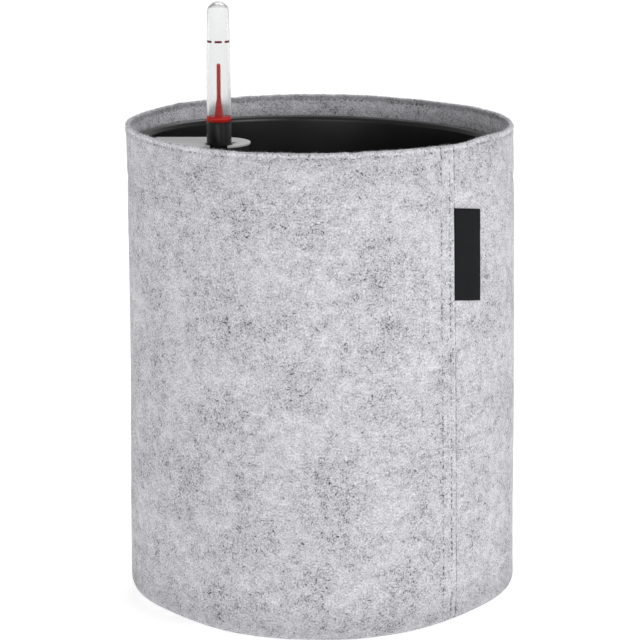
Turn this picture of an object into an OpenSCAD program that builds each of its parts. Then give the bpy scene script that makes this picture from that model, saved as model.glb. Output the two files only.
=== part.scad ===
// Self-watering plant pot: a felt cover round a plastic liner, with a soil separator,
// a filling shaft with a lift-off lid and a float level indicator. Millimetres, +Z up,
// the middle of the underside at the origin, the front towards -Y.

/* [Felt cover] */
// Outside diameter of the felt sleeve
cover_d = 225; // [212:1:300]
// Height of the sleeve's top edge
cover_h = 276; // [230:1:360]
// Thickness of one layer of felt
felt_t = 2; // [1.4:0.1:3]
// Depth of the hem turned in at the top edge
hem_h = 32; // [20:1:60]
// Outside radius of the sleeve's bottom edge
cover_corner_r = 6.5; // [5:0.5:16]
// Width of the felt turned in under the base
turn_in_w = 14; // [8:1:30]
// Direction of the side seam's cut edge, from the front towards the right
seam_angle = 40.1; // [20:0.1:70]
// How far the upper layer of the lapped side seam stands out
lap_rise = 1.2; // [0.4:0.1:1.8]
// Sweep over which the upper layer climbs onto the lower one
lap_sweep = 25; // [15:1:40]
// Clearance round the loose edge of the base disc
base_gap = 0.2; // [0.1:0.1:1]

/* [Label] */
// Width of the woven label, round the sleeve
label_w = 21; // [12:1:40]
// Height of the woven label
label_h = 51.6; // [20:0.2:80]
// Thickness of the folded tape
label_t = 0.8; // [0.4:0.1:1.4]
// Drop of the label's upper edge below the sleeve's top edge
label_drop = 36.6; // [34:0.2:150]
// Gap between the label and the sleeve
label_gap = 0.1; // [0.05:0.05:0.3]

/* [Liner] */
// Clearance between the liner's rim and the hem
liner_gap = 3; // [1:0.1:5]
// How far the rim lies below the sleeve's top edge
rim_drop = 12; // [6:0.5:24]
// Wall thickness of the liner
liner_wall = 1.8; // [1.2:0.1:3]
// Floor thickness of the liner
liner_floor = 2.2; // [1.6:0.1:4]
// Outside radius of the rolled rim
rim_roll_r = 3.2; // [3.05:0.05:6]
// Length of the skirt below the roll
rim_skirt = 5; // [2:0.5:12]
// Draft angle of the liner's wall
liner_draft = 1.2; // [0.5:0.1:2]
// Outside radius of the liner's bottom edge
liner_corner_r = 8; // [5:0.5:16]

/* [Soil separator] */
// Depth of the water store below the separator
store_h = 46; // [40:1:60]
// Thickness of the separator plate
sep_t = 2.4; // [1.6:0.1:4]
// Clearance between the separator and the liner's wall
sep_gap = 1; // [0.5:0.1:3]
// Height of the separator's upturned edge above the plate
sep_edge_h = 6; // [3:0.5:12]
// Thickness of the upturned edge
sep_edge_t = 2; // [1.2:0.1:4]
// Diameter of the drain holes
drain_d = 4; // [2:0.5:6]
// Distance between the rings of drain holes
drain_ring_pitch = 25.6; // [20:0.2:32]
// Drain holes in the innermost ring
drain_count = 6; // [3:1:8]
// Distance of the soil feet from the middle
foot_pitch_r = 58; // [52:1:62]
// Angle between the right-hand foot and each of the other two
foot_angle = 115; // [100:1:118]
// Outside radius of a soil foot below the plate
foot_top_r = 20; // [18:0.5:23]
// Outside radius of a soil foot at the floor
foot_low_r = 14; // [11:0.5:17]
// Width of the step that carries the plate on each foot
foot_step = 2.5; // [1.5:0.1:4]
// Wall thickness of a soil foot
foot_wall = 1.6; // [1.2:0.1:2.4]
// Clearance between a foot's neck and its hole in the plate
foot_gap = 0.15; // [0.1:0.05:0.5]
// Width of the wick slots in a soil foot
wick_w = 3; // [1.5:0.5:4]
// Height of the wick slots
wick_h = 18; // [8:1:26]
// Height of the wick slots above the floor
wick_rise = 3.2; // [2.6:0.2:8]
// Wick slots cut right across each foot
wick_count = 3; // [2:1:4]

/* [Filling shaft] */
// Width of the lid over the shaft
lid_w = 36; // [34:0.5:44]
// Distance of the lid's round end from the middle
lid_tip_x = 41; // [38:0.5:46]
// Thickness of the lid
lid_t = 1.2; // [0.8:0.1:2.4]
// Clearance between the lid and the liner's wall
lid_gap = 1; // [0.5:0.1:3]
// How far the lid stands out past the shaft
lid_overhang = 0.8; // [0.4:0.1:1.6]
// Length of the lid's locating lugs, along the shaft
lug_l = 10; // [4:1:14]
// Thickness of the lugs
lug_t = 1.2; // [0.8:0.1:2]
// Height of the lugs
lug_h = 5; // [3:0.5:10]
// Clearance between the lugs and the shaft
lug_gap = 0.35; // [0.3:0.05:0.8]
// Distance of the lugs from the shaft's back wall
lug_margin = 3; // [1:0.5:6]
// Wall thickness of the shaft
shaft_wall = 1.5; // [1:0.1:2]
// Length of the shaft below the separator plate
shaft_dip = 12; // [6:1:24]
// Width of the flange by which the shaft stands on the plate
shaft_flange_w = 4; // [2:0.5:5]
// Thickness of that flange
shaft_flange_t = 2; // [1.2:0.1:4]
// Clearance between the shaft and its hole in the plate
shaft_gap = 0.3; // [0.2:0.05:0.8]

/* [Level indicator] */
// Place of the indicator, from the middle towards the left
ind_x = 58.8; // [57:0.2:60]
// Place of the indicator, from the middle towards the front
ind_y = 7; // [5:0.5:7.5]
// Outside diameter of the clear tube at its foot
tube_foot_d = 14.7; // [14:0.1:15]
// Outside diameter of the clear tube at the full mark
tube_mark_d = 13.3; // [12.6:0.1:14]
// Outside diameter of the clear tube below its domed end
tube_cap_d = 12; // [11:0.1:12.6]
// Height of the tube's tip above the liner's rim
tube_rise = 81.5; // [76:0.5:100]
// Height of the full mark above the liner's rim
mark_rise = 59.4; // [54:0.2:66]
// Length of the clear tube below the liner's rim
tube_dip = 14; // [8:0.5:30]
// Height of the domed end
cap_h = 4.3; // [3:0.1:5.5]
// Wall thickness of the clear tube at its end
tube_wall = 1.2; // [0.8:0.1:1.6]
// Bore of the lower part of the clear tube
tube_bore = 11.8; // [11.4:0.1:12.2]
// Clearance round the stem inside the clear tube and in its socket
stem_gap = 0.2; // [0.1:0.05:0.3]
// Wall thickness of the stem
stem_wall = 1.5; // [1:0.1:2]
// Height of the stem's top above the liner's rim
stem_rise = 13; // [8:0.5:20]
// Thickness of the guide that closes the stem's top
guide_t = 3; // [2:0.5:6]
// Height of the collar that carries the clear tube
collar_h = 4; // [2:0.5:8]
// Outside diameter of the collar and of the float cage
cage_d = 14.6; // [14:0.1:15]
// Clearance between the indicator and its hole in the lid
tube_gap = 0.7; // [0.5:0.1:1]
// Width of the mouth by which that hole opens to the lid's front edge
mouth_w = 10; // [4:0.5:14]
// Reach of the key notch beside that hole, from the indicator's axis
notch_reach = 10.6; // [9.5:0.1:13]
// Width of the key notch
notch_w = 4; // [3:0.5:6]
// Direction of the key notch, from the right towards the back
notch_angle = 28; // [0:1:60]
// Wall thickness of the float cage
cage_wall = 1; // [0.8:0.1:1.4]
// Depth of the socket that holds the stem
socket_h = 12; // [6:1:20]
// Thickness of the web below the socket
web_t = 2; // [1.2:0.2:4]
// Width of the cage's water slots
water_slot_w = 4; // [2:0.5:5]
// Water slots cut right across the cage
water_slot_count = 2; // [1:1:3]
// Length of solid wall left above and below the slots
slot_margin = 6; // [3:0.5:8]
// Thickness of the plug that closes the cage
plug_t = 3; // [2:0.2:5]
// Height of the plug's spigot
spigot_h = 2; // [1:0.2:4]
// Clearance round the spigot
spigot_gap = 0.1; // [0.05:0.05:0.3]
// Diameter of the hole through the plug
plug_hole_d = 4; // [2:0.5:6]

/* [Float and needle] */
// Length of the float
float_l = 30; // [20:1:36]
// Clearance round the float in its cage
float_gap = 0.4; // [0.3:0.05:0.8]
// Bevel at the float's ends
float_bevel = 1.5; // [0.5:0.1:3]
// Rest height of the float above the plug
float_rest = 1.2; // [0.5:0.1:3]
// Travel of the float, from empty to full
float_travel = 14; // [8:0.5:18]
// Free height above the float when full
float_spare = 3.8; // [1:0.2:8]
// Diameter of the rod between float and needle
rod_d = 2.2; // [1.4:0.1:3]
// Clearance round the rod in the stem's guide
rod_gap = 0.4; // [0.3:0.05:0.8]
// Diameter of the rod's way through the web
web_hole_d = 6; // [4:0.5:8]
// Clearance round the needle's disc in the clear tube
disc_gap = 0.4; // [0.3:0.05:0.6]
// Thickness of the needle's disc
disc_t = 3; // [1.5:0.1:5]
// Height of the flared foot on the disc
flare_h = 10; // [3:0.5:16]
// Diameter of the flared foot at the disc
flare_d = 5.4; // [4:0.1:8]
// Diameter of the needle above the flare
needle_low_d = 2.4; // [2:0.1:4]
// Diameter of the needle below its tip
needle_tip_d = 2.2; // [1.4:0.1:2.8]
// Height of the needle's tip above the liner's rim when empty
needle_rise = 46; // [36:0.5:48]

/* [Hidden] */
$fn = 96;

// Extra length by which a cut runs past the face it opens
past = 1;

// Sleeve
cover_r = cover_d / 2;
lap_r = cover_r + lap_rise;
lap_shift = (lap_r * lap_r - cover_r * cover_r) / (2 * (lap_r - cover_r * cos(lap_sweep)));
seam_turn = seam_angle - 90;
label_sweep = label_w / cover_r * 180 / PI;
label_z = cover_h - label_drop - label_h;

// Liner
rim_z = cover_h - rim_drop;
roll_z = rim_z - rim_roll_r;
roll_r = cover_r - 2 * felt_t - liner_gap - rim_roll_r;
liner_top_r = roll_r - rim_roll_r;
liner_z = 2 * felt_t;
floor_z = liner_z + liner_floor;
function liner_in_r(z) = liner_top_r - (roll_z - z) * tan(liner_draft);

// Separator
sep_z = floor_z + store_h;
sep_top_z = sep_z + sep_t;
sep_r = liner_in_r(sep_z) - sep_gap;
foot_neck_r = foot_top_r - foot_step;
foot_places = [for (a = [-foot_angle, 0, foot_angle]) foot_pitch_r * [cos(a), sin(a)]];
drain_land = drain_d;

// Shaft and lid, whose round end is centred on the left of the middle
lid_z = rim_z - lid_t;
lid_end_x = lid_tip_x + lid_w / 2;
lid_reach = liner_in_r(roll_z) - lid_gap;
shaft_reach = sep_r - sep_edge_t - shaft_flange_w - sep_gap;
shaft_in = lid_overhang + shaft_wall;
lug_side = lid_w / 2 - shaft_in - lug_gap;
lug_back = sqrt(pow(shaft_reach - shaft_in, 2) - lug_side * lug_side) - lug_margin;

// Indicator, from the top down
ind_place = [-ind_x, -ind_y, 0];
tube_z = rim_z - tube_dip;
tube_top_z = rim_z + tube_rise;
cap_z = tube_top_z - cap_h;
cap_r = (pow(tube_cap_d / 2, 2) + cap_h * cap_h) / (2 * cap_h);
mark_z = rim_z + mark_rise;
stem_top_z = rim_z + stem_rise;
stem_d = tube_bore - 2 * stem_gap;
stem_bore_d = stem_d - 2 * stem_wall;
lid_hole_d = max(tube_foot_d, cage_d) + 2 * tube_gap;

// Float cage, from the liner's floor up
cage_z = floor_z + plug_t;
cage_bore_d = cage_d - 2 * cage_wall;
float_z = cage_z + spigot_h + float_rest;
float_d = cage_bore_d - 2 * float_gap;
web_z = float_z + float_l + float_travel + float_spare;
stem_z = web_z + web_t;
cage_top_z = stem_z + socket_h;

// Needle
disc_d = tube_bore - 2 * disc_gap;
disc_top_z = stem_top_z + disc_t;
needle_tip_z = rim_z + needle_rise;
bore_top_z = disc_top_z + float_travel + disc_gap;

// Filled outline of the sleeve with outside radius r, turned over at the top
module sleeve_outline(r) {
    translate([0, cover_corner_r])
        square([r, cover_h - felt_t - cover_corner_r]);
    translate([r - felt_t, cover_h - felt_t])
        circle(felt_t);
    square([r - cover_corner_r, cover_corner_r]);
    translate([r - cover_corner_r, cover_corner_r])
        circle(cover_corner_r);
}

// Space inside the sleeve, with the hem at the top and the turned-in felt at the bottom
module sleeve_inside() {
    translate([0, -past])
        square([cover_r - cover_corner_r - turn_in_w, cover_h + 2 * past]);
    translate([0, felt_t])
        square([cover_r - cover_corner_r, cover_corner_r]);
    translate([cover_r - cover_corner_r, cover_corner_r])
        circle(cover_corner_r - felt_t);
    translate([0, cover_corner_r])
        square([cover_r - felt_t, cover_h - hem_h - cover_corner_r]);
    translate([0, cover_corner_r])
        square([cover_r - 2 * felt_t, cover_h]);
}

// Upper layer of the lapped side seam, which climbs outwards to its cut edge
module seam_lap() {
    far = 2 * cover_r;
    translate([0, 0, cover_corner_r])
        linear_extrude(cover_h - felt_t - cover_corner_r)
        rotate([0, 0, seam_turn])
        difference() {
            intersection() {
                translate([lap_shift, 0])
                    circle(lap_r - lap_shift);
                polygon([[0, 0], far * [cos(lap_sweep), -sin(lap_sweep)], [far, 0]]);
            }
            circle(cover_r - felt_t / 2);
        }
}

module cover_wall() {
    color([0.74, 0.74, 0.76])
    union() {
        rotate_extrude()
            difference() {
                intersection() {
                    sleeve_outline(cover_r);
                    square([cover_d, cover_h]);
                }
                sleeve_inside();
            }
        seam_lap();
    }
}

// Felt disc sewn onto the turned-in edge
module cover_base() {
    color([0.70, 0.70, 0.72])
    translate([0, 0, felt_t])
        cylinder(h = felt_t, r = cover_r - cover_corner_r - base_gap);
}

// Folded tape held in the seam by its left edge
module label() {
    color([0.11, 0.11, 0.12])
    rotate([0, 0, seam_turn])
        rotate_extrude(angle = label_sweep)
        translate([cover_r + label_gap, label_z])
        square([label_t, label_h]);
}

// Half section of a drafted pot with a rounded bottom edge, filled to the axis
module pot_section(top_r, top_z, low_z, corner_r) {
    tangent_z = low_z + corner_r * (1 - sin(liner_draft));
    corner_x = top_r - (top_z - tangent_z) * tan(liner_draft) - corner_r * cos(liner_draft);
    polygon([[0, low_z], [corner_x, low_z], [corner_x + corner_r * cos(liner_draft), tangent_z],
             [top_r, top_z], [0, top_z]]);
    translate([corner_x, low_z + corner_r])
        circle(corner_r);
}

module liner_pot() {
    color([0.08, 0.08, 0.09])
    rotate_extrude() {
        difference() {
            pot_section(liner_top_r + liner_wall, roll_z, liner_z, liner_corner_r);
            pot_section(liner_in_r(roll_z + past), roll_z + past, floor_z, liner_corner_r - liner_wall);
        }
        translate([roll_r, roll_z])
            difference() {
                circle(rim_roll_r);
                circle(rim_roll_r - liner_wall);
                translate([-2 * rim_roll_r, -2 * rim_roll_r])
                    square([4 * rim_roll_r, 2 * rim_roll_r]);
            }
        translate([roll_r + rim_roll_r - liner_wall, roll_z - rim_skirt])
            square([liner_wall, rim_skirt]);
    }
}

// Outline of the lid, set in by a margin and cut off at a distance from the pot's axis
module lid_outline(inset, reach) {
    half = lid_w / 2 - inset;
    intersection() {
        union() {
            translate([-lid_end_x, 0])
                circle(half);
            translate([-lid_end_x - reach, -half])
                square([reach, 2 * half]);
        }
        circle(reach - inset);
    }
}

// True where a drain hole keeps clear of the feet and of the shaft
function drains(p) =
    min([for (f = foot_places) norm(p - f)]) > foot_neck_r + drain_d / 2 + drain_land
    && !(p[0] < drain_land + drain_d - lid_tip_x && abs(p[1]) < lid_w / 2 + drain_land + drain_d);

module separator_plate() {
    rings = floor((sep_r - sep_edge_t - drain_land - drain_d / 2) / drain_ring_pitch + 1 / 2);
    color([0.16, 0.16, 0.17])
    difference() {
        union() {
            translate([0, 0, sep_z])
                cylinder(h = sep_t, r = sep_r);
            translate([0, 0, sep_top_z])
                difference() {
                    cylinder(h = sep_edge_h, r = sep_r);
                    translate([0, 0, -past])
                        cylinder(h = sep_edge_h + 2 * past, r = sep_r - sep_edge_t);
                }
        }
        translate([0, 0, sep_z - past]) {
            for (f = foot_places)
                translate(f)
                    cylinder(h = sep_t + 2 * past, r = foot_neck_r + foot_gap);
            for (ring = [1 : rings]) {
                count = drain_count * (2 * ring - 1);
                for (i = [0 : count - 1]) {
                    p = drain_ring_pitch * (ring - 1 / 2) * [cos(i * 360 / count), sin(i * 360 / count)];
                    if (drains(p))
                        translate(p)
                            cylinder(h = sep_t + 2 * past, d = drain_d);
                }
            }
            linear_extrude(sep_t + 2 * past)
                lid_outline(lid_overhang - shaft_gap, shaft_reach);
        }
    }
}

// Hollow foot that the plate rests on: soil fills it and draws water in through the slots
module soil_foot() {
    difference() {
        union() {
            translate([0, 0, floor_z])
                cylinder(h = store_h, r1 = foot_low_r, r2 = foot_top_r);
            translate([0, 0, sep_z])
                cylinder(h = sep_t, r = foot_neck_r);
        }
        translate([0, 0, floor_z + foot_wall])
            cylinder(h = store_h - foot_wall, r1 = foot_low_r - foot_wall, r2 = foot_neck_r - foot_wall);
        translate([0, 0, sep_z - past / 2])
            cylinder(h = sep_t + past, r = foot_neck_r - foot_wall);
        for (i = [0 : wick_count - 1])
            rotate([0, 0, i * 180 / wick_count])
                translate([-foot_top_r, -wick_w / 2, floor_z + wick_rise])
                cube([2 * foot_top_r, wick_w, wick_h]);
    }
}

module soil_feet() {
    color([0.16, 0.16, 0.17])
    for (f = foot_places)
        translate(f)
            soil_foot();
}

module supply_shaft() {
    shaft_z = sep_z - shaft_dip;
    color([0.10, 0.10, 0.11])
    difference() {
        union() {
            translate([0, 0, shaft_z])
                linear_extrude(lid_z - shaft_z)
                lid_outline(lid_overhang, shaft_reach);
            translate([0, 0, sep_top_z])
                linear_extrude(shaft_flange_t)
                lid_outline(lid_overhang - shaft_flange_w, shaft_reach);
        }
        translate([0, 0, shaft_z - past])
            linear_extrude(lid_z - shaft_z + 2 * past)
            lid_outline(shaft_in, shaft_reach);
    }
}

// Tongue-shaped lid with two lugs that locate it and the indicator's hole, which has a key notch and a mouth
module shaft_lid() {
    color([0.80, 0.80, 0.80])
    union() {
        difference() {
            translate([0, 0, lid_z])
                linear_extrude(lid_t)
                lid_outline(0, lid_reach);
            translate(ind_place + [0, 0, lid_z - past]) {
                cylinder(h = lid_t + 2 * past, d = lid_hole_d);
                translate([-mouth_w / 2, -lid_w, 0])
                    cube([mouth_w, lid_w, lid_t + 2 * past]);
                rotate([0, 0, notch_angle])
                    translate([0, -notch_w / 2, 0])
                    cube([notch_reach - notch_w / 2, notch_w, lid_t + 2 * past]);
                rotate([0, 0, notch_angle])
                    translate([notch_reach - notch_w / 2, 0, 0])
                    cylinder(h = lid_t + 2 * past, d = notch_w);
            }
        }
        for (side = [0, 1])
            mirror([0, side, 0])
                translate([-lug_back, lug_side - lug_t, lid_z - lug_h])
                cube([lug_l, lug_t, lug_h]);
    }
}

// Clear tube with a straight lower bore for the needle's disc and a domed end
module indicator_tube() {
    color([0.90, 0.93, 0.95, 0.35])
    translate(ind_place)
        rotate_extrude()
        difference() {
            union() {
                polygon([[0, tube_z], [tube_foot_d / 2, tube_z], [tube_mark_d / 2, mark_z],
                         [tube_cap_d / 2, cap_z], [0, cap_z]]);
                intersection() {
                    translate([0, tube_top_z - cap_r])
                        circle(cap_r);
                    translate([0, cap_z])
                        square([tube_cap_d / 2, cap_h]);
                }
            }
            polygon([[0, tube_z - past], [tube_bore / 2, tube_z - past], [tube_bore / 2, bore_top_z],
                     [tube_cap_d / 2 - tube_wall, cap_z - tube_wall], [0, cap_z - tube_wall]]);
            intersection() {
                translate([0, tube_top_z - tube_wall - cap_r])
                    circle(cap_r);
                translate([0, cap_z - tube_wall])
                    square([tube_cap_d / 2 - tube_wall, cap_h]);
            }
        }
}

// Black tube that carries the clear tube on its collar and guides the rod at its top
module indicator_stem() {
    color([0.06, 0.06, 0.07])
    translate(ind_place)
        difference() {
            union() {
                translate([0, 0, stem_z])
                    cylinder(h = stem_top_z - stem_z, d = stem_d);
                translate([0, 0, tube_z - collar_h])
                    cylinder(h = collar_h, d = cage_d);
            }
            translate([0, 0, stem_z - past])
                cylinder(h = stem_top_z - guide_t - stem_z + past, d = stem_bore_d);
            translate([0, 0, stem_z])
                cylinder(h = stem_top_z - stem_z + past, d = rod_d + 2 * rod_gap);
        }
}

// Slotted chamber for the float, with a socket for the stem above its web
module float_cage() {
    slot_h = web_z - cage_z - spigot_h - 2 * slot_margin;
    color([0.06, 0.06, 0.07])
    translate(ind_place)
        difference() {
            translate([0, 0, cage_z])
                cylinder(h = cage_top_z - cage_z, d = cage_d);
            translate([0, 0, cage_z - past])
                cylinder(h = web_z - cage_z + past, d = cage_bore_d);
            translate([0, 0, cage_z])
                cylinder(h = cage_top_z - cage_z, d = web_hole_d);
            translate([0, 0, stem_z])
                cylinder(h = socket_h + past, d = stem_d + 2 * stem_gap);
            for (i = [0 : water_slot_count - 1])
                rotate([0, 0, i * 180 / water_slot_count])
                    translate([-cage_d, -water_slot_w / 2, cage_z + spigot_h + slot_margin])
                    cube([2 * cage_d, water_slot_w, slot_h]);
        }
}

module cage_plug() {
    color([0.06, 0.06, 0.07])
    translate(ind_place + [0, 0, floor_z])
        difference() {
            union() {
                cylinder(h = plug_t, d = cage_d);
                translate([0, 0, plug_t])
                    cylinder(h = spigot_h, d = cage_bore_d - 2 * spigot_gap);
            }
            translate([0, 0, -past])
                cylinder(h = plug_t + spigot_h + 2 * past, d = plug_hole_d);
        }
}

module float_body() {
    low_d = float_d - 2 * float_bevel;
    color([0.92, 0.92, 0.90])
    translate(ind_place + [0, 0, float_z])
        union() {
            cylinder(h = float_bevel, d1 = low_d, d2 = float_d);
            translate([0, 0, float_bevel])
                cylinder(h = float_l - 2 * float_bevel, d = float_d);
            translate([0, 0, float_l - float_bevel])
                cylinder(h = float_bevel, d1 = float_d, d2 = low_d);
        }
}

module float_rod() {
    color([0.85, 0.85, 0.83])
    translate(ind_place + [0, 0, float_z + float_l])
        cylinder(h = stem_top_z - float_z - float_l, d = rod_d);
}

// Red needle on a flared foot, whose disc stands on the stem when the store is empty
module level_needle() {
    flare_z = disc_top_z + flare_h;
    color([0.80, 0.10, 0.09])
    translate(ind_place)
        rotate_extrude()
        polygon([[0, stem_top_z], [disc_d / 2, stem_top_z], [disc_d / 2, disc_top_z],
                 [flare_d / 2, disc_top_z], [needle_low_d / 2, flare_z],
                 [needle_tip_d / 2, needle_tip_z - needle_tip_d / 2],
                 [needle_tip_d / 4, needle_tip_z], [0, needle_tip_z]]);
}

cover_wall();
cover_base();
label();
liner_pot();
separator_plate();
soil_feet();
supply_shaft();
shaft_lid();
indicator_tube();
indicator_stem();
float_cage();
cage_plug();
float_body();
float_rod();
level_needle();
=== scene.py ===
import math

import bmesh
import bpy
from mathutils import Matrix, Vector, noise


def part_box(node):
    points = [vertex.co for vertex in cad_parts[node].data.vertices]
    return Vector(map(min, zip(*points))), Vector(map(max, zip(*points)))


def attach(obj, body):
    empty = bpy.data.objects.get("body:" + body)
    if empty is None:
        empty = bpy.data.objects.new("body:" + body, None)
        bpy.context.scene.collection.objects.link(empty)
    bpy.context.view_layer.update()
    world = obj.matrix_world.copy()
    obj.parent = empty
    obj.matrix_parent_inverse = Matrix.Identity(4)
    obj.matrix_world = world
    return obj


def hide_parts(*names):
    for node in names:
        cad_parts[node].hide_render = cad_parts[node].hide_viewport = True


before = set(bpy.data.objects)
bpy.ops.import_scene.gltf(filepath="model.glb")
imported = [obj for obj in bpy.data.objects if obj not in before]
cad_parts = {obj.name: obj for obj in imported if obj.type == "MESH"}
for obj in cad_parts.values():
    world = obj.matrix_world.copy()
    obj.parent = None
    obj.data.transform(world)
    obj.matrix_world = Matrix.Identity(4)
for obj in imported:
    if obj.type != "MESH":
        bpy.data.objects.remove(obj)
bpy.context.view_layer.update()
MM = 0.001


# Felt sleeve
# Needle felt in a light grey melange, 2 mm thick, bent round and lapped at one side seam. The top edge is
# turned in as a doubled hem, and the bottom edge is turned in under the base disc.
sleeve_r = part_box("cover_wall")[1].x
sleeve_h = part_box("cover_wall")[1].z
round_l = 2.0 * math.pi * sleeve_r
felt_t = 2.0 * MM
hem_h = 32.0 * MM
hem_foot = sleeve_h - hem_h
hem_rise = 0.25 * MM
edge_t = 2.4 * MM
corner_r = 6.5 * MM
turn_in = 14.0 * MM
lap_rise = 1.3 * MM
lap_run = 46.0 * MM
seam_turn = math.radians(-49.5)
seam_lean = math.radians(-1.7)
seam_rows = (2.9 * MM, 8.8 * MM)
hem_row = sleeve_h - 31.0 * MM
edge_row = sleeve_h - 3.2 * MM
stitch_pitch = 3.5 * MM
stitch_pull = 0.22 * MM
edge_pull = 0.15 * MM

# The wall stands out at its foot and in at its top, and leans a little to the left on its way up
foot_out = 1.25 * MM
top_in = 2.76 * MM
foot_right = 0.5 * MM
top_left = 1.8 * MM

# Humps and dips of the top edge, and where the bottom is drawn up: turn and width in degrees, height in mm
edge_humps = ((-33.0, 11.0, 1.2), (-112.0, 38.0, -1.5), (48.0, 26.0, -0.7), (160.0, 14.0, -0.6),
              (-43.0, 7.0, -0.8))
foot_humps = ((-36.0, 26.0, 3.3), (-141.0, 16.0, 1.9))


def smooth(x, low, high):
    """Rises from 0 at low to 1 at high, level at both ends."""
    t = min(max((x - low) / (high - low), 0.0), 1.0)
    return t * t * (3.0 - 2.0 * t)


def bell(x, width):
    """A smooth hump of height 1 at x = 0."""
    return math.exp(-(x / width) ** 2)


def spaced(start, end, gap):
    """Evenly spaced values from start up to end, which is left out."""
    count = max(1, round(abs(end - start) / gap))
    return [start + (end - start) * i / count for i in range(count)]


def arc(cx, cy, radius, start, end, steps):
    """Points on an arc, with its angles in degrees and both ends included."""
    angles = [math.radians(start + (end - start) * i / steps) for i in range(steps + 1)]
    return [(cx + radius * math.cos(t), cy + radius * math.sin(t)) for t in angles]


def wander(p, height, size, shift=(0, 0, 0)):
    """Noise of about that height at a point, with bumps of about that size."""
    return height * noise.noise(p / size + Vector(shift))


def humps(p, places):
    """The height at a point's turn about the axis, from places with a turn, a width and a height."""
    turn = math.degrees(math.atan2(p.y, p.x))
    return MM * sum(height * bell(turn - middle, width) for middle, width, height in places)


def on_sleeve(a, r, z):
    """The point at a along the cloth to the left of the cut edge, r from the axis and z up."""
    turn = seam_turn + seam_lean * (z / sleeve_h - 0.5) - a / sleeve_r
    return Vector((r * math.cos(turn), r * math.sin(turn), z))


def sway(a, z):
    """Slow bends, taper and lean of the standing felt, which both of its faces follow."""
    p = on_sleeve(a, sleeve_r, z)
    up = z / sleeve_h
    bends = wander(p, 0.40 * MM, 85.0 * MM) + wander(p, 0.22 * MM, 32.0 * MM, (3, 1, 7))
    taper = foot_out - top_in * up
    lean = foot_right - top_left * up ** 4
    return bends * smooth(z, 0.0, 30.0 * MM) + taper + lean * p.x / sleeve_r


def relief(a, z):
    """Lumps, the lap's climb and the pull of the stitches on the outer face."""
    p = on_sleeve(a, sleeve_r, z)
    lumps = wander(p, 0.10 * MM, 9.0 * MM) + wander(p, 0.07 * MM, 4.2 * MM, (5, 2, 9))
    lap = lap_rise * (1.0 - smooth(a, 0.0, lap_run))
    hem = hem_rise * smooth(z, hem_row, hem_row + 6.0 * MM)
    pull = stitch_pull * sum(bell(a - row, 0.7 * MM) for row in seam_rows)
    pull += stitch_pull * bell(z - hem_row, 2.2 * MM) + edge_pull * bell(z - edge_row, 1.1 * MM)
    return lumps + lap + hem - pull


def outer_point(a, z, lift=0.0):
    """A point on the sleeve's outer face, lifted off it along the radius."""
    return on_sleeve(a, sleeve_r + sway(a, z) + relief(a, z) + lift, z)


def edge_wave(a, z):
    """Unevenness of the hemmed top edge, up and down."""
    p = on_sleeve(a, 1.0, 0.0)
    ripple = wander(p, 0.30 * MM, 1.0 / 4.0) + wander(p, 0.25 * MM, 1.0 / 17.0)
    ripple += wander(p, 0.30 * MM, 1.0 / 41.0)
    slope = 0.4 * MM * max(p.y, 0.0) - 0.2 * MM * p.x
    return (ripple + slope + humps(p, edge_humps)) * smooth(z, sleeve_h - 50.0 * MM, sleeve_h)


def foot_lift(p):
    """How far the bottom is drawn up at a point, which fades inwards and up the wall."""
    outside = smooth(math.hypot(p.x, p.y), 90.0 * MM, 107.0 * MM)
    low = 1.0 - smooth(p.z, 4.0 * MM, 45.0 * MM)
    return humps(p, foot_humps) * outside * low


def mesh_piece(name, points, faces, material):
    """An object at the origin from points and faces, smooth and with its faces outwards."""
    mesh = bpy.data.meshes.new(name)
    mesh.from_pydata(points, [], faces)
    work = bmesh.new()
    work.from_mesh(mesh)
    bmesh.ops.recalc_face_normals(work, faces=work.faces)
    work.to_mesh(mesh)
    work.free()
    mesh.shade_smooth()
    mesh.materials.append(material)
    piece = bpy.data.objects.new(name, mesh)
    bpy.context.scene.collection.objects.link(piece)
    return piece


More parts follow.
